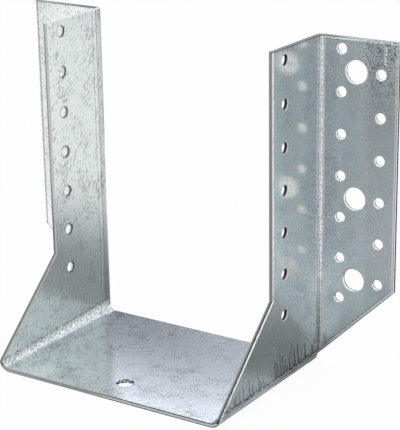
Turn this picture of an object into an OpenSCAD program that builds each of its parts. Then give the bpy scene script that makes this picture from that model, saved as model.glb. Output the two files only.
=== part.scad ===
// Joist hanger, folded from one blank of galvanised steel sheet.
// X runs across the joist, Y runs along it towards the header beam, Z is up.
// The origin is on the underside, in the middle of the hanger's length and width.
// The header beam's face is the plane at the back, where both flanges lie.

/* [Sheet] */
// Thickness of the sheet
sheet = 2; // [1.75:0.25:2.5]
// Inner radius of the folds between the seat and the webs
seat_fold_r = 3.5; // [3:0.5:8]
// Inner radius of the folds between the webs and the flanges
flange_fold_r = 2; // [2:0.5:4]
// How far the edge of a punched hole is rolled over
lip = 0.4; // [0.2:0.1:0.5]

/* [Seat] */
// Clear width between the webs, for a 120 mm joist with 1 mm of play each side
joist_w = 122; // [80:1:200]
// Length from the header's face to the front edge of the seat
seat_len = 90; // [86:1:130]
// Distance from the header's face to the rear edge of the seat
seat_setback = 3; // [2:0.5:3.5]
// Diameter of the hole in the seat
seat_hole_d = 8; // [5:0.5:12]
// Distance from the front edge to the middle of the seat hole
seat_hole_inset = 15.5; // [12:0.5:30]

/* [Webs] */
// Height from the underside to the top edge
total_h = 161; // [160:1:240]
// Depth of the webs' upper part, from the header's face to the near edge
web_depth = 45; // [42:0.5:60]
// Height at which the near edge starts to slant out to the seat
slant_top_z = 45.5; // [35:0.5:60]
// Height at which the slant ends, low in the fold, at the seat's front edge
slant_bottom_z = 4.5; // [3:0.5:8]
// Distance from the near edge to the column of nail holes
web_nail_inset = 10.5; // [8:0.5:20]

/* [Flanges] */
// Width of a flange beyond the web's outer face
flange_w = 39; // [37:0.5:60]
// Height of a flange's lower outer corner
flange_corner_z = 43; // [30:0.5:60]
// Height at which the slanted lower edge of a flange meets its web
flange_toe_z = 5; // [4:0.5:12]
// Distance from the web's outer face to the inner column of nail holes
inner_column_x = 10.5; // [10:0.5:12]
// Distance from the web's outer face to the outer column of nail holes
outer_column_x = 30.5; // [29:0.5:33]
// Distance from the web's outer face to the column of bolt holes
bolt_column_x = 18; // [17.5:0.5:20]

/* [Holes] */
// Diameter of the nail holes
nail_d = 5; // [4:0.5:5.5]
// Diameter of the bolt holes
bolt_d = 11; // [9:0.5:12]
// Distance from one nail hole to the next in a column
nail_pitch = 20; // [18:1:22]
// Number of nail holes in each web and in each inner flange column
nail_count = 7; // [3:1:7]
// Distance from the top edge to the first hole of the webs and inner columns
first_nail_drop = 5.5; // [4:0.5:12]

/* [Hidden] */
$fn = 64;
steel = "#9aa4a8";
slack = 1;
outer_w = joist_w + 2 * sheet;
web_x = outer_w / 2;
header_y = seat_len / 2;
front_y = -seat_len / 2;
near_y = header_y - web_depth;
seat_back_y = header_y - seat_setback;
seat_bend_r = seat_fold_r + sheet;
flange_bend_r = flange_fold_r + sheet;
flange_x = web_x + flange_w;
toe_slope = (flange_corner_z - flange_toe_z) / flange_w;
web_nail_y = near_y + web_nail_inset;
first_nail_z = total_h - first_nail_drop;
outer_first_z = first_nail_z - nail_pitch / 2;
bolt_drops = [0, 60, 100];

// A hole through the sheet, drilled along +Z from z = 0, with a rolled lip at both faces.
module punched_hole(d) {
    translate([0, 0, -slack])
        cylinder(d = d, h = sheet + 2 * slack);
    for (face = [0, 1])
        translate([0, 0, face * sheet])
            mirror([0, 0, face])
                rolled_lip(d);
}

// The ring that the punch rolls off a hole's edge: a quarter-round of radius lip.
module rolled_lip(d) {
    rotate_extrude()
        difference() {
            translate([0, -slack])
                square([d / 2 + lip, slack + lip]);
            translate([d / 2 + lip, lip])
                circle(r = lip, $fn = 32);
        }
}

// One quarter of a ring of sheet, from the -Y axis round to the +X axis.
module quarter_ring(inner_r) {
    difference() {
        intersection() {
            circle(r = inner_r + sheet);
            translate([0, -inner_r - sheet])
                square(inner_r + sheet);
        }
        circle(r = inner_r);
    }
}

// Right half of the U that seat and webs make, seen from the front (X, Z).
module half_channel_profile() {
    square([web_x - seat_bend_r, sheet]);
    translate([web_x - seat_bend_r, seat_bend_r])
        quarter_ring(seat_fold_r);
    translate([web_x - sheet, seat_bend_r])
        square([sheet, total_h - seat_bend_r]);
}

// Outline of seat and web from the side (Y, Z), with the slanted near edge.
module side_outline() {
    polygon([
        [front_y, 0],
        [front_y, slant_bottom_z],
        [near_y, slant_top_z],
        [near_y, total_h],
        [header_y - flange_bend_r, total_h],
        [header_y - flange_bend_r, flange_toe_z],
        [seat_back_y, flange_toe_z],
        [seat_back_y, 0]
    ]);
}

// Outline of a right flange from the front (X, Z), with its slanted lower edge.
module flange_outline() {
    polygon([
        [web_x - sheet, flange_toe_z - toe_slope * sheet],
        [flange_x, flange_corner_z],
        [flange_x, total_h],
        [web_x - sheet, total_h]
    ]);
}

// Fold and flange from above (X, Y), from the web's end out to the flange's edge.
module flange_plan() {
    translate([web_x + flange_fold_r, header_y - flange_bend_r])
        mirror([1, 0])
            mirror([0, 1])
                quarter_ring(flange_fold_r);
    translate([web_x + flange_fold_r, header_y - sheet])
        square([flange_w - flange_fold_r, sheet]);
}

// Half the seat and the right web.
module half_channel() {
    intersection() {
        translate([0, seat_back_y, 0])
            rotate([90, 0, 0])
                linear_extrude(seat_back_y - front_y)
                    half_channel_profile();
        rotate([90, 0, 90])
            linear_extrude(web_x + slack)
                side_outline();
    }
}

// The right flange with the fold that joins it to its web.
module flange() {
    intersection() {
        linear_extrude(total_h)
            flange_plan();
        translate([0, header_y, 0])
            rotate([90, 0, 0])
                linear_extrude(flange_bend_r)
                    flange_outline();
    }
}

// Holes of the right web, along X.
module web_holes() {
    for (i = [0 : nail_count - 1])
        translate([web_x - sheet, web_nail_y, first_nail_z - i * nail_pitch])
            rotate([0, 90, 0])
                punched_hole(nail_d);
}

// Moves a hole to a place on the right flange, along Y.
module on_flange(x, z) {
    translate([web_x + x, header_y, z])
        rotate([90, 0, 0])
            children();
}

// Holes of the right flange: two staggered nail columns and the bolt holes between them.
module flange_holes() {
    for (i = [0 : nail_count - 1])
        on_flange(inner_column_x, first_nail_z - i * nail_pitch)
            punched_hole(nail_d);
    for (i = [0 : nail_count - 2])
        on_flange(outer_column_x, outer_first_z - i * nail_pitch)
            punched_hole(nail_d);
    for (drop = bolt_drops)
        on_flange(bolt_column_x, outer_first_z - drop)
            punched_hole(bolt_d);
}

// The right half of the hanger with its holes.
module half_hanger() {
    difference() {
        union() {
            half_channel();
            flange();
        }
        web_holes();
        flange_holes();
    }
}

// The whole folded sheet.
module hanger() {
    color(steel)
        difference() {
            union() {
                half_hanger();
                mirror([1, 0, 0])
                    half_hanger();
            }
            translate([0, front_y + seat_hole_inset, 0])
                punched_hole(seat_hole_d);
        }
}

hanger();
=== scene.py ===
import math

import bpy
from mathutils import Matrix, Vector


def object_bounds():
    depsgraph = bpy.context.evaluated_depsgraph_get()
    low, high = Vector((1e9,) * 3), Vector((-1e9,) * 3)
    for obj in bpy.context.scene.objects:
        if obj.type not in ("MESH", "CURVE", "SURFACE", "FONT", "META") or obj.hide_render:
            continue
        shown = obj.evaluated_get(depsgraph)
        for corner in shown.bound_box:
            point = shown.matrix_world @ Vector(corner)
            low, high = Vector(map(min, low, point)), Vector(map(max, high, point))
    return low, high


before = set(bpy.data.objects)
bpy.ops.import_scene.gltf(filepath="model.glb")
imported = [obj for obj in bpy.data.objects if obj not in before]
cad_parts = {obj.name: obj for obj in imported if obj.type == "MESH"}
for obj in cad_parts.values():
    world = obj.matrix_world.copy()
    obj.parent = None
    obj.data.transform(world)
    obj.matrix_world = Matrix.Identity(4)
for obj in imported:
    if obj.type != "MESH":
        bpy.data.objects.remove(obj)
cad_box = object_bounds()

FRAME_LONG_SIDE = 430
SENSOR_MM = 36.0

CAMERA_AT = Vector((0.4145, -0.58902, 0.31623))
CAMERA_DIR = Vector((-0.52414, 0.79064, -0.31649))
CAMERA_ROLL_DEG = -0.901
FOCAL_PX = 1621.5


def make_camera():
    """The camera at the viewing angle, with its roll about the line of sight."""
    data = bpy.data.cameras.new("camera")
    data.sensor_width = SENSOR_MM
    data.lens = FOCAL_PX * SENSOR_MM / FRAME_LONG_SIDE
    data.clip_start = 0.01
    data.clip_end = 50.0
    cam = bpy.data.objects.new("camera", data)
    bpy.context.scene.collection.objects.link(cam)
    forward = CAMERA_DIR.normalized()
    level_right = forward.cross(Vector((0, 0, 1))).normalized()
    level_up = level_right.cross(forward)
    roll = math.radians(CAMERA_ROLL_DEG)
    right = level_right * math.cos(roll) + level_up * math.sin(roll)
    up = right.cross(forward)
    m = Matrix((right, up, -forward)).transposed().to_4x4()
    m.translation = CAMERA_AT
    cam.matrix_world = m
    bpy.context.scene.camera = cam


make_camera()

scene = bpy.context.scene
scene.view_settings.view_transform = "Standard"


def new_material(name):
    mat = bpy.data.materials.new(name)
    mat.use_nodes = True
    mat.node_tree.nodes.clear()
    return mat


class Nodes:
    """Short calls for making nodes in one tree."""

    def __init__(self, tree):
        self.tree = tree

    def put(self, socket, value):
        if isinstance(value, bpy.types.NodeSocket):
            self.tree.links.new(value, socket)
        elif value is not None:
            socket.default_value = value

    def add(self, kind, settings=None, **inputs):
        n = self.tree.nodes.new(kind)
        for k, v in (settings or {}).items():
            setattr(n, k, v)
        for k, v in inputs.items():
            self.put(n.inputs[k.replace("_", " ")], v)
        return n

    def math(self, op, a, b=None, c=None):
        n = self.tree.nodes.new("ShaderNodeMath")
        n.operation = op
        for s, v in zip(n.inputs, (a, b, c)):
            self.put(s, v)
        return n.outputs[0]

    def ramp(self, value, lo, hi, at_lo, at_hi):
        """A smooth step from at_lo to at_hi as value goes from lo to hi."""
        n = self.add("ShaderNodeMapRange", {"interpolation_type": "SMOOTHSTEP"})
        sockets = ("Value", "From Min", "From Max", "To Min", "To Max")
        for k, v in zip(sockets, (value, lo, hi, at_lo, at_hi)):
            self.put(n.inputs[k], v)
        return n.outputs[0]

    def mix(self, factor, a, b):
        n = self.add("ShaderNodeMix", {"data_type": "FLOAT"})
        for k, v in zip((0, 2, 3), (factor, a, b)):
            self.put(n.inputs[k], v)
        return n.outputs[0]

    def mix_colour(self, factor, a, b):
        n = self.add("ShaderNodeMix", {"data_type": "RGBA"})
        for k, v in zip((0, 6, 7), (factor, a, b)):
            self.put(n.inputs[k], v)
        return n.outputs[2]

    def rise(self, value, lo, hi):
        return self.ramp(value, lo, hi, 0.0, 1.0)

    def fall(self, value, lo, hi):
        return self.ramp(value, lo, hi, 1.0, 0.0)

    def product(self, *values):
        out = values[0]
        for v in values[1:]:
            out = self.math("MULTIPLY", out, v)
        return out

    def larger(self, *values):
        out = values[0]
        for v in values[1:]:
            out = self.math("MAXIMUM", out, v)
        return out

    def plus(self, a, b):
        return self.math("ADD", a, b)

    def minus(self, a, b):
        return self.math("SUBTRACT", a, b)

    def scaled(self, value, by, start):
        """value * by + start"""
        return self.math("MULTIPLY_ADD", value, by, start)

    def over(self, value, limit):
        return self.math("GREATER_THAN", value, limit)

    def under(self, value, limit):
        return self.math("LESS_THAN", value, limit)

    def off(self, mask):
        return self.minus(1.0, mask)

    def band(self, value, lo, hi, soft):
        """1 between lo and hi, fading to 0 over soft outside them."""
        return self.product(self.rise(value, lo - soft, lo), self.fall(value, hi, hi + soft))

    def moved(self, vector, turn=(0, 0, 0), scale=(1, 1, 1), shift=(0, 0, 0)):
        n = self.add("ShaderNodeMapping", Vector=vector)
        n.inputs["Rotation"].default_value = [math.radians(t) for t in turn]
        n.inputs["Scale"].default_value = scale
        n.inputs["Location"].default_value = shift
        return n.outputs[0]

    def stretched(self, vector, turn=(0, 0, 0), longer=(1, 1, 1)):
        """The vector turned, then drawn out along its own axes, so that a noise on it makes strokes."""
        n = self.add("ShaderNodeMapping", {"vector_type": "TEXTURE"}, Vector=vector)
        n.inputs["Rotation"].default_value = [math.radians(t) for t in turn]
        n.inputs["Scale"].default_value = longer
        return n.outputs[0]

    def length(self, a, b):
        return self.math("SQRT", self.plus(self.product(a, a), self.product(b, b)))

    def shaded(self, colour, shade):
        """The colour multiplied by the shade."""
        n = self.add("ShaderNodeVectorMath", {"operation": "SCALE"})
        self.put(n.inputs[0], colour)
        self.put(n.inputs["Scale"], shade)
        return n.outputs[0]

    def noise(self, vector, scale, detail=2.0, rough=0.5, warp=0.0):
        n = self.add("ShaderNodeTexNoise", Vector=vector)
        n.inputs["Scale"].default_value = scale
        n.inputs["Detail"].default_value = detail
        n.inputs["Roughness"].default_value = rough
        n.inputs["Distortion"].default_value = warp
        return n.outputs[0]

    def strokes(self, across, up, density, tallest):
        """Thin upright lines with random places, heights and strengths, rising from up = 0."""
        n = self.add("ShaderNodeTexVoronoi", {"voronoi_dimensions": "1D"}, W=across)
        n.inputs["Scale"].default_value = density
        height, strength, _ = self.split(n.outputs["Color"])
        height = self.scaled(self.product(height, height), tallest, 0.0006)
        line = self.fall(n.outputs["Distance"], 0.12, 0.24)
        foot = self.rise(up, -0.0003, 0.0)
        tip = self.fall(self.minus(up, height), -0.0008, 0.0004)
        return self.product(line, foot, tip, self.ramp(strength, 0.0, 0.5, 0.45, 1.0))

    def split(self, vector):
        return self.add("ShaderNodeSeparateXYZ", Vector=vector).outputs


def bright_rays(nd):
    """1 for camera, glossy and transmission rays."""
    lp = nd.add("ShaderNodeLightPath").outputs
    return nd.larger(lp["Is Camera Ray"], lp["Is Glossy Ray"], lp["Is Transmission Ray"])


def make_world():
    world = bpy.data.worlds.new("studio")
    scene.world = world
    world.use_nodes = True
    nt = world.node_tree
    nt.nodes.clear()
    nd = Nodes(nt)
    # 1 for the rays that bright_rays picks, and 0.5 for the rays that light dull surfaces
    strength = nd.scaled(bright_rays(nd), 0.5, 0.5)
    bg = nd.add("ShaderNodeBackground", Strength=strength)
    bg.inputs["Color"].default_value = (1, 1, 1, 1)
    out = nd.add("ShaderNodeOutputWorld")
    nt.links.new(bg.outputs[0], out.inputs[0])


def link(obj):
    bpy.context.scene.collection.objects.link(obj)
    return obj


def plane(name, corners, mat):
    mesh = bpy.data.meshes.new(name)
    mesh.from_pydata(corners, [], [tuple(range(len(corners)))])
    mesh.materials.append(mat)
    return link(bpy.data.objects.new(name, mesh))


def distance_from(nd, place, x, y):
    n = nd.add("ShaderNodeVectorMath", {"operation": "DISTANCE"})
    nd.put(n.inputs[0], place)
    n.inputs[1].default_value = (x, y, 0)
    return n.outputs["Value"]


# direction of the strip of floor, in front of the hanger, that the right flange mirrors
STRIP_X = -0.489
STRIP_Y = -0.873


def floor_glow(nd):
    """How bright the floor looks in the steel, by place, with painted shadows, and a mask of its front
    part.
    """
    place = nd.add("ShaderNodeTexCoord").outputs["Object"]
    x, y, _ = nd.split(place)
    # painted shadow, seen only in the steel: darker round the hanger, darker still by its right-back
    # corner
    shadowed_glow = nd.ramp(distance_from(nd, place, 0, 0), 0.085, 0.25, 0.26, 1.02)
    by_corner = nd.ramp(distance_from(nd, place, 0.10, 0.08), 0.03, 0.11, 0.60, 1.0)
    shadowed_glow = nd.product(shadowed_glow, by_corner)
    # metres from about (0.05, -0.08): across that strip, towards -X, and along it
    side = nd.scaled(x, STRIP_Y, nd.scaled(y, -STRIP_X, 0.083))
    along = nd.scaled(x, STRIP_X, nd.scaled(y, STRIP_Y, -0.045))
    # painted shadow, seen only in the steel: a dim strip in front of the hanger, with brighter floor
    # either side
    dim = nd.ramp(along, 0.0, 0.55, 0.44, 0.16)
    bright = nd.product(nd.ramp(along, -0.07, 0.03, 1.00, 0.62), nd.ramp(along, 0.10, 0.30, 1.0, 0.90))
    right_part = nd.mix(nd.rise(side, -0.12, -0.01), bright, dim)
    left = nd.rise(side, 0.04, 0.20)
    front = nd.mix(left, right_part, 1.05)
    is_front = nd.product(nd.fall(y, 0.0, 0.024), nd.fall(x, 0.50, 0.65))
    return nd.mix(is_front, shadowed_glow, front), nd.product(is_front, nd.off(left))


def make_floor():
    mat = new_material("floor")
    nd = Nodes(mat.node_tree)
    lp = nd.add("ShaderNodeLightPath").outputs
    bare_floor = 0.908
    seen = nd.product(nd.larger(lp["Is Camera Ray"], lp["Is Transmission Ray"]), bare_floor)
    glow, is_front = floor_glow(nd)
    # the floor's painted glow in the steel is cool where dim, warm where bright, bluish in front
    cool = (0.955, 1.0, 1.02, 1)
    warm = (1.02, 1.0, 0.98, 1)
    tint = nd.mix_colour(nd.rise(glow, 0.30, 0.90), cool, warm)
    tint = nd.mix_colour(is_front, tint, (0.97, 0.99, 1.05, 1))
    tint = nd.mix_colour(lp["Is Glossy Ray"], (1, 1, 1, 1), tint)
    lamp = nd.add("ShaderNodeEmission", Color=tint, Strength=nd.mix(lp["Is Glossy Ray"], seen, glow))
    soft = nd.add("ShaderNodeBsdfDiffuse", Color=(0.15, 0.15, 0.15, 1))
    both = nd.add("ShaderNodeAddShader")
    nd.put(both.inputs[0], lamp.outputs[0])
    nd.put(both.inputs[1], soft.outputs[0])
    out = nd.add("ShaderNodeOutputMaterial")
    nd.put(out.inputs[0], both.outputs[0])
    r = 5.0
    z = -0.0002
    obj = plane("floor", [(-r, -r, z), (r, -r, z), (r, r, z), (-r, r, z)], mat)


def upright(x0, x1, z0):
    """Corners of a card behind the hanger, from x0 to x1 and from z0 up."""
    y = 0.3
    z1 = 0.5
    return [(x0, y, z0), (x1, y, z0), (x1, y, z1), (x0, y, z1)]


def card(name, corners, tint, make_strength):
    """A sheet that only the steel's reflections see, as bright as make_strength says."""
    mat = new_material(name)
    nd = Nodes(mat.node_tree)
    glow = nd.add("ShaderNodeEmission", Color=(*tint, 1), Strength=make_strength(nd))
    out = nd.add("ShaderNodeOutputMaterial")
    nd.put(out.inputs[0], glow.outputs[0])
    obj = plane(name, corners, mat)
    obj.visible_camera = False
    obj.visible_diffuse = False
    obj.visible_transmission = False
    obj.visible_shadow = False


def left_card_glow(nd):
    x, _, z = nd.split(nd.add("ShaderNodeTexCoord").outputs["Object"])
    low = nd.mix(nd.rise(x, -0.10, 0.0), nd.ramp(x, -0.23, -0.12, 0.31, 0.58), 0.68)
    return nd.mix(nd.rise(z, 0.140, 0.235), low, 1.62)


def right_card_glow(nd):
    _, _, z = nd.split(nd.add("ShaderNodeTexCoord").outputs["Object"])
    return nd.ramp(z, 0.130, 0.225, 0.72, 1.12)


def area_light(name, at, aim, size, power):
    data = bpy.data.lights.new(name, "AREA")
    data.shape = "RECTANGLE"
    data.size, data.size_y = size
    data.energy = power
    obj = link(bpy.data.objects.new(name, data))
    obj.location = at
    obj.rotation_euler = (Vector(aim) - Vector(at)).to_track_quat("-Z", "Y").to_euler()


make_world()
make_floor()
card("back_card_left", upright(-0.6, 0.0, 0.02), (0.98, 0.985, 1.10), left_card_glow)
card("back_card_right", upright(0.0, 0.6, 0.10), (1.0, 0.99, 1.0), right_card_glow)
area_light("top_softbox", at=(0.2, -0.2, 1.9), aim=(0, 0, 0.05), size=(3.2, 3.2), power=4)


# the hanger's dimensions in metres: the overall ones from the frame, the others as in part.scad
FRONT_Y = cad_box[0][1]
FLANGE_X, HEADER_Y, TOP_Z = cad_box[1]
SHEET = 0.002
WEB_X = 0.063
SEAT_BEND = 0.0055
FLANGE_BEND = 0.004
FLANGE_FOLD = 0.002
SLANT_TOP_Z = 0.0455
SLANT_BOTTOM_Z = 0.0045
NAIL_Y = 0.0105
NAIL_PITCH = 0.020

# the lower edge of a flange is the line z = LOWER_SLOPE * |x| + LOWER_AT
LOWER_SLOPE = 0.974
LOWER_AT = -0.0564
LOWER_COS = math.cos(math.atan(LOWER_SLOPE))

# the webs' slanted edge runs from the seat's front up to y = 0; its shares along Y and Z
SLANT_RISE = SLANT_TOP_Z - SLANT_BOTTOM_Z
SLANT_ALONG_Y = -FRONT_Y / math.hypot(FRONT_Y, SLANT_RISE)
SLANT_ALONG_Z = SLANT_RISE / math.hypot(FRONT_Y, SLANT_RISE)

# past this |x| lie the steeper part of a seat fold, the web and the flange
FOLD_X = WEB_X - 0.003

# a face looks along an axis when its normal has more than this share of it
FACING = 0.97

MICROMETRE = 0.000001


def face_masks(nd, m, normal):
    """The faces and folds of the sheet, and which of them are on its inner side."""
    nx, ny, nz = (nd.math("ABSOLUTE", n) for n in normal)
    x, y, z, ax = m["x"], m["y"], m["z"], m["ax"]
    in_web = nd.product(nd.over(ax, WEB_X - 0.0025), nd.under(ax, WEB_X + 0.0005))
    m["web"] = nd.product(nd.over(nx, FACING), in_web)
    m["flange"] = nd.product(nd.over(ny, FACING), nd.over(y, HEADER_Y - 0.0025))
    m["seat"] = nd.product(nd.over(nz, FACING), nd.under(z, SHEET + 0.0005))
    curved = nd.product(nd.under(ny, 0.3), nd.under(nx, FACING), nd.under(nz, FACING))
    in_fold = nd.product(nd.over(ax, WEB_X - 0.006), nd.under(z, SEAT_BEND + 0.0003))
    seat_fold = nd.product(curved, in_fold)
    beside_web = nd.product(nd.over(ax, WEB_X - 0.0025), nd.under(ax, WEB_X + 0.0025))
    upright = nd.under(nz, 0.3)
    m["flange_fold"] = nd.product(upright, nd.over(y, HEADER_Y - 0.0042), beside_web)
    face = nd.larger(m["web"], m["flange"], m["seat"], seat_fold, m["flange_fold"])
    inward = nd.under(nd.product(normal[0], x), 0.0)
    up = nd.over(normal[2], 0.0)
    m["inner_fold"] = nd.product(seat_fold, up)
    back = nd.product(m["flange"], nd.over(normal[1], 0.0))
    m["inner_web"] = nd.product(m["web"], inward)
    m["inner"] = nd.larger(m["inner_web"], nd.product(m["seat"], up), back, m["inner_fold"])
    m["outer_web"] = nd.product(m["web"], nd.off(inward))
    m["edge"] = nd.off(face)


def above_lower_edge(nd, m):
    """Height above the slanted lower edge of a flange."""
    return nd.minus(m["z"], nd.scaled(m["ax"], LOWER_SLOPE, LOWER_AT))


def edge_masks(nd, m):
    """The top edges and the walls of the holes."""
    y, z, ax = m["y"], m["z"], m["ax"]
    m["top_edge"] = nd.product(m["edge"], nd.over(z, TOP_Z - 0.0002))
    below_top = nd.product(m["edge"], nd.under(z, TOP_Z - 0.0008))
    by_nails = nd.product(nd.over(y, NAIL_Y - 0.0033), nd.under(y, NAIL_Y + 0.0033))
    on_web = nd.product(nd.under(ax, WEB_X + 0.0005), nd.over(z, 0.03))
    m["web_hole"] = nd.product(below_top, by_nails, on_web)
    above_foot = nd.over(above_lower_edge(nd, m), 0.0011)
    on_flange = nd.product(nd.over(ax, WEB_X + 0.0035), nd.under(ax, FLANGE_X - 0.0008))
    m["flange_hole"] = nd.product(below_top, on_flange, above_foot)
    in_front = nd.product(nd.over(y, FRONT_Y + 0.005), nd.under(y, 0.0))
    in_seat = nd.product(nd.under(ax, 0.006), nd.under(z, SHEET + 0.0005))
    m["seat_hole"] = nd.product(m["edge"], in_seat, in_front)


def sheet_depth(nd, m):
    """Depth through the sheet: 0 on its outer side, which is the flanges' front, 1 on its inner."""
    y, z, ax = m["y"], m["z"], m["ax"]
    past_seat = nd.larger(nd.minus(ax, WEB_X - SEAT_BEND), 0.0)
    below_web = nd.larger(nd.minus(SEAT_BEND, z), 0.0)
    channel = nd.minus(SEAT_BEND, nd.length(past_seat, below_web))
    before_flange = nd.larger(nd.minus(WEB_X + FLANGE_FOLD, ax), 0.0)
    past_web = nd.larger(nd.minus(y, HEADER_Y - FLANGE_BEND), 0.0)
    beside = nd.minus(nd.length(before_flange, past_web), FLANGE_FOLD)
    in_bend = nd.product(nd.over(y, HEADER_Y - FLANGE_BEND), nd.over(ax, WEB_X - 0.0025))
    is_beside = nd.larger(nd.over(ax, WEB_X + 0.0001), in_bend)
    return nd.product(nd.mix(is_beside, channel, beside), 1.0 / SHEET)


def sheet_masks(nd, at):
    """Which part of the folded sheet a point is on: each mask is 1 on its part and 0 off it."""
    x, y, z = nd.split(at)
    m = {"x": x, "y": y, "z": z, "ax": nd.math("ABSOLUTE", x), "right": nd.over(x, 0.0)}
    normal = nd.split(nd.add("ShaderNodeNewGeometry").outputs["True Normal"])
    face_masks(nd, m, normal)
    edge_masks(nd, m)
    m["depth"] = sheet_depth(nd, m)
    return m


def near_edge_shade(nd, m, d):
    """How light the webs' near edges are, slanted below and upright above, with painted light and shade
    across the edge faces.
    """
    z = m["z"]
    slanted = nd.mix(nd.rise(d, 0.12, 0.22), 0.95, nd.ramp(d, 0.50, 0.66, 0.07, 0.30))
    near = nd.ramp(d, 0.12, 0.24, 1.0, 0.40)
    outside = nd.ramp(z, 0.040, 0.050, 0.45, 0.64)
    dark_to = nd.ramp(z, 0.05, 0.09, 0.45, 0.10)
    light_from = nd.ramp(z, 0.05, 0.09, 0.80, 0.45)
    left_side = nd.ramp(d, dark_to, light_from, 0.22, outside)
    return nd.mix(m["right"], left_side, nd.mix(nd.over(z, SLANT_TOP_Z), slanted, near))


def edge_shade(nd, at, m):
    """How light the sheared edges and the walls of the punched holes are through the sheet's depth:
    partly the shear's own bright and torn zones, partly painted light and shade where rounded corners
    and walls catch or miss light.
    """
    waver = nd.minus(nd.noise(at, 700.0, 2.0, 0.6), 0.5)
    d = nd.scaled(waver, 0.25, m["depth"])
    cut = near_edge_shade(nd, m, d)

    front = nd.product(nd.under(m["y"], FRONT_Y + 0.0001), nd.under(m["z"], SHEET + 0.0005))
    lined = nd.product(nd.ramp(d, 0.14, 0.32, 0.16, 1.0), nd.ramp(d, 0.64, 0.84, 0.95, 0.07))
    cut = nd.mix(front, cut, nd.mix(nd.rise(m["x"], -0.012, 0.006), 0.46, lined))

    flange_side = nd.over(m["ax"], FLANGE_X - 0.0012)
    cut = nd.mix(flange_side, cut, nd.ramp(d, 0.20, 0.40, 0.9, 0.05))

    on_flange = nd.over(m["ax"], WEB_X + 0.0005)
    web_top = nd.mix(m["right"], 0.62, 0.16)
    flange_top = nd.mix(m["right"], 0.12, 0.33)
    cut = nd.mix(m["top_edge"], cut, nd.mix(on_flange, web_top, flange_top))

    # painted light and shade on the web holes' walls: light on the outer side, dark by the inner rim
    left_wall = nd.ramp(d, 0.50, 0.78, 0.80, 0.07)
    right_wall = nd.ramp(d, 0.15, 0.30, 0.70, 0.03)
    cut = nd.mix(m["web_hole"], cut, nd.mix(m["right"], left_wall, right_wall))
    flange_wall = nd.product(nd.ramp(d, 0.46, 0.62, 1.0, 0.05), nd.ramp(d, 0.02, 0.12, 0.6, 1.0))
    cut = nd.mix(m["flange_hole"], cut, flange_wall)
    blotch = nd.ramp(nd.noise(at, 900.0, 2.0, 0.6), 0.44, 0.54, 0.03, 0.98)
    return nd.mix(m["seat_hole"], cut, blotch)


class Skin:
    """The zinc's shade and its height in micrometres, built up mark by mark."""

    def __init__(self, nd, at, m):
        self.nd = nd
        self.at = at
        self.m = m
        self.shade = 1.0
        self.height = 0.0

    def tone(self, mask, value):
        """Multiplies the shade by value where mask is 1."""
        self.shade = self.nd.product(self.shade, self.nd.mix(mask, 1.0, value))

    def lift(self, mask, micrometres):
        self.height = self.nd.scaled(mask, micrometres, self.height)


def add_grain(skin):
    """Broad cloudiness, fine grain, and short flecks that lean, dark, each with a painted highlight on
    one side.
    """
    nd, at, m = skin.nd, skin.at, skin.m
    cloud = nd.noise(at, 90.0, 3.0, 0.6)
    grain = nd.noise(at, 1500.0, 2.0, 0.6)
    leaning = nd.stretched(at, turn=(-30, 0, 0), longer=(1.0, 1.0, 3.2))
    fleck = nd.noise(leaning, 1450.0, 2.0, 0.65, 0.4)
    beside = nd.noise(nd.moved(leaning, shift=(0.0, 0.0003, 0.0)), 1450.0, 2.0, 0.65, 0.4)
    crowd = nd.minus(nd.noise(at, 85.0, 3.0, 0.6), 0.5)
    on_flange = nd.mix(m["right"], 0.75, 0.36)
    shown = nd.mix(m["inner"], nd.mix(m["outer_web"], on_flange, 0.75), 1.0)
    dark_flecks = nd.product(nd.rise(nd.scaled(crowd, 0.50, fleck), 0.53, 0.605), shown)
    # painted highlight: a lighter copy of each fleck, shifted a little to one side
    fleck_highlights = nd.product(nd.rise(nd.scaled(crowd, 0.50, beside), 0.53, 0.605), shown)
    skin.shade = nd.scaled(nd.minus(cloud, 0.5), 0.12, 1.0)
    skin.shade = nd.scaled(nd.minus(grain, 0.5), 0.34, skin.shade)
    skin.tone(fleck_highlights, 1.20)
    skin.tone(dark_flecks, 0.55)
    skin.lift(cloud, 20.0)
    skin.lift(grain, 5.0)
    skin.lift(dark_flecks, -9.0)
    return cloud, crowd, dark_flecks


def add_seat_marks(skin, crowd):
    """Blots and dots on the seat."""
    nd, at, m = skin.nd, skin.at, skin.m
    blots = nd.rise(nd.scaled(crowd, 0.4, nd.noise(at, 460.0, 3.0, 0.7)), 0.53, 0.64)
    skin.tone(nd.product(m["seat"], blots), nd.ramp(m["x"], -0.035, -0.015, 0.70, 0.86))
    drawn_out = nd.stretched(at, turn=(0, 0, 35), longer=(1.8, 1.0, 1.0))
    dots = nd.scaled(crowd, 0.25, nd.noise(drawn_out, 1350.0, 2.0, 0.6))
    skin.tone(nd.product(m["seat"], nd.rise(dots, 0.56, 0.64)), 0.74)
    skin.tone(nd.product(m["seat"], nd.fall(dots, 0.30, 0.42)), 1.14)


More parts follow.
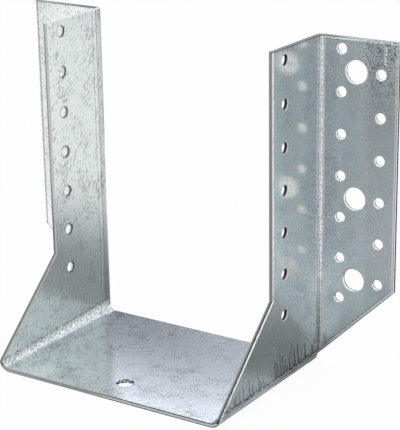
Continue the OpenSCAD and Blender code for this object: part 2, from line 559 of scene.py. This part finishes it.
def add_painted_tones(skin, far):
    """Painted light and shade: each face made lighter or darker as a whole, by place, as its
    reflections fall; far is 1 towards the header.
    """
    nd, m = skin.nd, skin.m
    x, y, z, ax = m["x"], m["y"], m["z"], m["ax"]
    # painted shade and light on the outer web: up high darker towards the header, low down lighter
    # towards it
    upper = nd.mix(far, nd.ramp(y, 0.001, 0.012, 0.98, 0.80), 0.75)
    low = nd.mix(nd.rise(z, 0.016, 0.032), nd.ramp(y, -0.026, -0.006, 0.90, 1.09), 0.99)
    low_far = nd.ramp(z, 0.012, 0.030, 1.34, 1.18)
    skin.tone(m["outer_web"], nd.mix(nd.rise(z, 0.035, 0.060), nd.mix(far, low, low_far), upper))
    # painted light and shade on the inner web: lighter towards the front, darker near the back by the
    # flange fold, lighter in a low band
    skin.tone(m["inner_web"], nd.ramp(y, -0.020, 0.015, 1.13, 1.0))
    skin.tone(m["inner_web"], nd.ramp(y, 0.0378, 0.0384, 1.0, 0.80))
    skin.tone(m["inner_web"], nd.mix(nd.band(z, 0.016, 0.055, 0.012), 1.0, 1.06))
    # painted light on the seat, more of it towards the back except at the far left
    rear = nd.product(nd.rise(y, 0.020, 0.040), nd.rise(x, -0.050, -0.020))
    skin.tone(m["seat"], nd.mix(rear, 1.05, 1.12))
    # painted light on the flanges: lighter low down and in an upright band a little way out from the
    # fold
    skin.tone(m["flange"], nd.ramp(z, 0.035, 0.065, 1.24, 1.045))
    skin.tone(nd.product(m["flange"], nd.band(ax, 0.0745, 0.084, 0.006)), 1.12)


def add_upset_and_highlight(skin):
    """The metal upsetting in the tight inner curve of the seat folds, wider towards the back, with a
    painted highlight: its pitted light band, spread onto the flat foot of the web, with painted shade
    at its foot and along its top.
    """
    nd, at, m = skin.nd, skin.at, skin.m
    rough_fold = nd.noise(at, 1100.0, 3.0, 0.75, 0.5)
    ragged = nd.scaled(nd.noise(at, 420.0, 3.0, 0.7), 0.0030, m["z"])
    wide = nd.ramp(m["y"], -0.040, 0.045, 0.0, 0.0024)
    above = nd.minus(nd.minus(ragged, 0.0070), wide)
    eased = nd.product(m["inner_web"], nd.fall(above, -0.0002, 0.0003))
    upset_and_highlight = nd.larger(m["inner_fold"], eased)
    # painted highlight: the pitted band's light ground, lighter than the zinc; painted shade darkens
    # its foot and its top
    pits_and_highlight = nd.mix(nd.rise(rough_fold, 0.47, 0.57), 1.30, 0.58)
    foot_shade = nd.ramp(m["z"], 0.0021, 0.0027, 0.85, 1.0)
    skin.tone(upset_and_highlight, nd.product(pits_and_highlight, foot_shade, nd.ramp(above, -0.0030, 0.0, 1.0, 0.82)))
    # painted shade: a broken dark line along the top of the band, where it meets the flat web
    shade_line = nd.product(m["inner"], nd.band(above, 0.0002, 0.0006, 0.0003), nd.over(m["ax"], FOLD_X))
    broken = nd.ramp(nd.noise(at, 300.0, 1.0, 0.5), 0.40, 0.52, 0.2, 1.0)
    skin.tone(nd.product(shade_line, broken), 0.50)
    skin.lift(nd.product(upset_and_highlight, rough_fold), 90.0)
    return upset_and_highlight, above


def add_stretch_marks(skin):
    """Stretched metal over the seat folds' outside: dark lines up the web, pale scuffs in front."""
    nd, at, m = skin.nd, skin.at, skin.m
    y, z = m["y"], m["z"]
    along_fold = nd.noise(nd.moved(at, scale=(0.0, 1.0, 0.0)), 330.0, 3.0, 0.75)
    up = nd.minus(z, nd.scaled(along_fold, 0.0036, 0.0046))
    bent = nd.scaled(nd.noise(at, 260.0, 2.0, 0.6), 0.0016, nd.scaled(z, 0.10, y))
    short = nd.product(nd.strokes(bent, up, 980.0, 0.0055), 0.8)
    tall = nd.product(nd.strokes(bent, up, 810.0, 0.0130), nd.rise(y, -0.006, 0.010))
    patchy = nd.ramp(nd.noise(at, 500.0, 2.0, 0.6), 0.40, 0.50, 0.25, 1.0)
    foot = nd.product(nd.band(up, -0.0003, 0.0003, 0.0002), patchy)
    marks = nd.larger(nd.strokes(bent, up, 640.0, 0.0105), short, tall, foot)
    marks = nd.product(m["outer_web"], marks)
    skin.tone(marks, 0.12)
    skin.lift(marks, -25.0)
    by_front = nd.product(nd.fall(up, 0.0, 0.004), nd.fall(y, -0.038, -0.028))
    scuffs = nd.product(m["outer_web"], by_front)
    skin.tone(nd.product(scuffs, nd.rise(nd.noise(at, 1100.0, 3.0, 0.7), 0.52, 0.60)), 1.45)


def add_fold_lines(skin):
    """Streaks along the outside of the seat folds, and painted highlight and shade along the bend: a
    light line between two dark ones.
    """
    nd, at, m = skin.nd, skin.at, skin.m
    outside = nd.product(nd.over(m["ax"], FOLD_X), nd.off(m["inner"]))
    lines_at = nd.stretched(at, longer=(1.0, 22.0, 1.0))
    along = nd.ramp(nd.noise(lines_at, 1500.0, 2.0, 0.6), 0.42, 0.58, 0.48, 1.30)
    skin.tone(nd.product(outside, nd.fall(m["z"], 0.0050, 0.0056)), along)
    waver = nd.noise(nd.stretched(at, longer=(1.0, 6.0, 1.0)), 300.0, 2.0, 0.6)
    traced = nd.scaled(waver, 0.0006, m["z"])
    fold_side = nd.product(outside, nd.off(m["edge"]))
    # painted shade, highlight and shade: dark, light and dark lines along the bend
    for from_z, value in ((0.0052, 0.50), (0.0041, 1.30), (0.0031, 0.60)):
        line = nd.band(traced, from_z, from_z + 0.0003, 0.0002)
        skin.tone(nd.product(fold_side, line), value)


def add_press_lines(skin):
    """Lines that the pressing left beside the flange folds, darkened as painted shade with a painted
    highlight beside each, and on the folds freckles and painted light and shade.
    """
    nd, at, m = skin.nd, skin.at, skin.m
    y = m["y"]
    # painted shade in each pressed line, and a painted highlight just beside it
    press_and_shade = nd.plus(nd.band(y, 0.0354, 0.0357, 0.0002), nd.band(y, 0.0384, 0.0387, 0.0002))
    press_lit = nd.plus(nd.band(y, 0.0361, 0.0364, 0.0002), nd.band(y, 0.0391, 0.0394, 0.0002))
    pressed = nd.product(m["web"], nd.mix(m["right"], 1.0, 0.45))
    skin.tone(nd.product(pressed, press_and_shade), 0.70)
    skin.tone(nd.product(pressed, press_lit), 1.12)
    skin.lift(nd.product(pressed, press_and_shade), -60.0)
    turn = nd.product(nd.minus(m["ax"], WEB_X), 1.0 / SHEET)
    in_fold = nd.product(m["flange_fold"], nd.over(m["ax"], WEB_X - 0.0001))
    freckle = nd.ramp(nd.noise(at, 1300.0, 2.0, 0.7), 0.45, 0.60, 0.90, 1.40)
    # painted shade and highlight across the flange fold: darker at the web's side with a dark line
    # close by, lighter at the flange's side
    fold_light_and_shade = nd.product(nd.ramp(turn, 0.0, 0.12, 0.70, 1.0), nd.ramp(turn, 0.70, 0.90, 1.0, 1.15))
    fold_dark_line = nd.mix(nd.band(turn, 0.16, 0.26, 0.10), 1.0, 0.60)
    skin.tone(in_fold, nd.product(freckle, fold_light_and_shade, fold_dark_line))
    return in_fold


def add_flange_marks(skin):
    """The right flange's freckles, dull mottled patch and sparkle, and painted highlight and shade
    along both flanges' edges.
    """
    nd, at, m = skin.nd, skin.at, skin.m
    x, z, ax = m["x"], m["z"], m["ax"]
    right_flange = nd.product(m["flange"], m["right"])
    pale = nd.rise(nd.noise(at, 1150.0, 2.0, 0.7, 0.6), 0.50, 0.62)
    skin.tone(nd.product(right_flange, nd.band(ax, 0.0675, 0.072, 0.004), pale), 1.30)

    patch = nd.product(m["flange"], nd.rise(x, 0.074, 0.092), nd.rise(z, 0.112, 0.152))
    mottle = nd.rise(nd.noise(at, 1500.0, 2.0, 0.8), 0.46, 0.56)
    skin.tone(patch, nd.mix(mottle, 1.14, 0.36))
    skin.lift(nd.product(patch, mottle), -22.0)

    glints = nd.rise(nd.noise(at, 1400.0, 1.0, 0.5), 0.50, 0.58)
    shine = nd.product(m["flange"], nd.band(x, 0.0945, 0.0958, 0.0005), nd.rise(z, 0.148, 0.153))
    rim = nd.band(z, 0.1596, 0.1601, 0.0003)
    sparkle = nd.product(right_flange, nd.larger(rim, shine))
    skin.tone(nd.product(sparkle, glints), 1.45)
    skin.lift(nd.product(sparkle, nd.noise(at, 1300.0, 2.0, 0.6)), 420.0)

    # painted highlight along the right flange's outer border, painted shade along the left one's
    border = nd.product(m["flange"], nd.band(ax, 0.1008, 0.1014, 0.0002))
    skin.tone(border, nd.mix(m["right"], 0.50, 1.60))
    # painted shade and highlight along the lower edges: dark at the edge, a painted highlight just
    # inside, then a darker line; the left flange darker at its edge
    up = nd.product(above_lower_edge(nd, m), LOWER_COS)
    lit = nd.ramp(up, 0.0010, 0.0013, 1.75, 1.0)
    under_edge = nd.mix(nd.rise(up, 0.0003, 0.0005), 0.30, lit)
    inside = nd.mix(nd.band(up, 0.0015, 0.0018, 0.0002), 1.0, 0.78)
    skin.tone(right_flange, nd.product(under_edge, inside))
    left_flange = nd.product(m["flange"], nd.off(m["right"]))
    skin.tone(left_flange, nd.ramp(up, 0.0004, 0.0007, 0.45, 1.0))
    skin.lift(nd.product(right_flange, nd.rise(up, 0.0003, 0.0011)), -90.0)


def add_corner_lines(skin):
    """Painted highlight and shade along the top edges and the webs' near edges, where the shear rolled
    the sheet over; the near edges' roll is also in the height.
    """
    nd, m = skin.nd, skin.m
    y, z, ax = m["y"], m["z"], m["ax"]
    # painted shade and highlight under the top edges: dark on the left, on the right dark by the fold
    # and light further out
    top_line = nd.product(nd.off(m["inner"]), nd.rise(z, 0.1602, 0.1605))
    left_top = nd.ramp(ax, 0.070, 0.095, 0.25, 0.60)
    right_top = nd.ramp(ax, 0.070, 0.080, 0.45, 1.30)
    skin.tone(top_line, nd.mix(m["right"], left_top, right_top))
    behind = nd.product(nd.minus(y, FRONT_Y), SLANT_ALONG_Z)
    risen = nd.product(nd.minus(z, SLANT_BOTTOM_Z), SLANT_ALONG_Y)
    slant = nd.minus(behind, risen)
    is_upper = nd.over(z, SLANT_TOP_Z)
    corner = nd.mix(is_upper, nd.fall(slant, 0.0005, 0.0009), nd.fall(y, 0.0004, 0.0008))
    rolled = nd.mix(is_upper, nd.fall(slant, 0.0, 0.0009), nd.fall(y, 0.0, 0.0008))
    # painted highlight along the outer web's near edge
    skin.tone(nd.product(m["outer_web"], corner), 1.25)
    skin.lift(nd.product(m["outer_web"], rolled), -230.0)


def add_hole_rings(skin):
    """The ring that the punch left round each hole of the webs, as a painted highlight on the right one
    and as painted shade on the left one.
    """
    nd, at, m = skin.nd, skin.at, skin.m
    half = NAIL_PITCH / 2
    # height from the middle of the nearest hole
    row = nd.minus(nd.math("MODULO", nd.plus(m["z"], 0.0145), NAIL_PITCH), half)
    from_hole = nd.length(nd.minus(m["y"], NAIL_Y), row)
    ring = nd.product(m["web"], nd.band(from_hole, 0.0031, 0.0034, 0.0003), nd.over(m["z"], 0.030))
    ring = nd.product(ring, nd.rise(nd.noise(at, 600.0, 1.0, 0.5), 0.42, 0.56))
    # painted highlight on the right web, painted shade on the left
    skin.tone(ring, nd.mix(m["right"], 0.62, 1.25))


def steel_colour(skin, far, in_fold):
    nd, at, m = skin.nd, skin.at, skin.m
    on_left = nd.product(m["seat"], nd.fall(m["x"], -0.035, -0.020))
    zinc = nd.mix_colour(on_left, (0.665, 0.72, 0.72, 1), (0.645, 0.72, 0.725, 1))
    zinc = nd.mix_colour(nd.product(m["outer_web"], far), zinc, (0.650, 0.72, 0.745, 1))
    zinc = nd.mix_colour(in_fold, zinc, (0.70, 0.72, 0.715, 1))
    coated = nd.shaded(zinc, skin.shade)
    cut = nd.shaded((0.91, 0.94, 0.93), edge_shade(nd, at, m))
    return nd.mix_colour(m["edge"], coated, cut)


def steel_roughness(skin, cloud, dark_flecks, upset_and_highlight):
    nd, m = skin.nd, skin.m
    rough = nd.scaled(nd.minus(cloud, 0.5), 0.10, 0.19)
    rough = nd.mix(dark_flecks, rough, 0.34)
    rough = nd.mix(m["outer_web"], rough, 0.155)
    rough = nd.mix(m["seat"], rough, 0.14)
    rough = nd.mix(upset_and_highlight, rough, 0.40)
    return nd.mix(m["edge"], rough, nd.mix(m["flange_hole"], 0.45, 0.25))


def steel_normal(skin, upset_and_highlight, above):
    """Bumps on slightly rounded corners; the web's foot leans where the seat fold opens out."""
    nd, m = skin.nd, skin.m
    corner = nd.add("ShaderNodeBevel")
    corner.samples = 6
    corner.inputs["Radius"].default_value = 0.00025
    bump = nd.add("ShaderNodeBump", Height=skin.height, Normal=corner.outputs[0])
    bump.inputs["Strength"].default_value = 1.0
    bump.inputs["Distance"].default_value = MICROMETRE
    opening = nd.ramp(m["y"], -0.045, 0.010, 0.1, 0.9)
    fading = nd.ramp(above, -0.0045, 0.0003, 1.0, 0.25)
    lean = nd.product(upset_and_highlight, opening, nd.over(m["z"], 0.0030), fading)
    leaning = nd.add("ShaderNodeVectorMath", {"operation": "ADD"})
    nd.put(leaning.inputs[0], bump.outputs[0])
    nd.put(leaning.inputs[1], nd.add("ShaderNodeCombineXYZ", Z=lean).outputs[0])
    normal = nd.add("ShaderNodeVectorMath", {"operation": "NORMALIZE"})
    nd.put(normal.inputs[0], leaning.outputs[0])
    return normal.outputs[0]


def make_steel():
    mat = new_material("galvanised_steel_look")
    nd = Nodes(mat.node_tree)
    at = nd.add("ShaderNodeTexCoord").outputs["Object"]
    m = sheet_masks(nd, at)
    far = nd.rise(m["y"], 0.018, 0.038)
    skin = Skin(nd, at, m)
    cloud, crowd, dark_flecks = add_grain(skin)
    add_seat_marks(skin, crowd)
    add_painted_tones(skin, far)
    upset_and_highlight, above = add_upset_and_highlight(skin)
    add_stretch_marks(skin)
    add_fold_lines(skin)
    in_fold = add_press_lines(skin)
    add_flange_marks(skin)
    add_corner_lines(skin)
    add_hole_rings(skin)
    bsdf = nd.add(
        "ShaderNodeBsdfPrincipled",
        Base_Color=steel_colour(skin, far, in_fold),
        Roughness=steel_roughness(skin, cloud, dark_flecks, upset_and_highlight),
        Normal=steel_normal(skin, upset_and_highlight, above),
    )
    bsdf.inputs["Metallic"].default_value = 1.0
    out = nd.add("ShaderNodeOutputMaterial")
    nd.put(out.inputs[0], bsdf.outputs[0])
    return mat


steel = make_steel()
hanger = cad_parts["hanger"]
for s in hanger.material_slots:
    s.material = steel
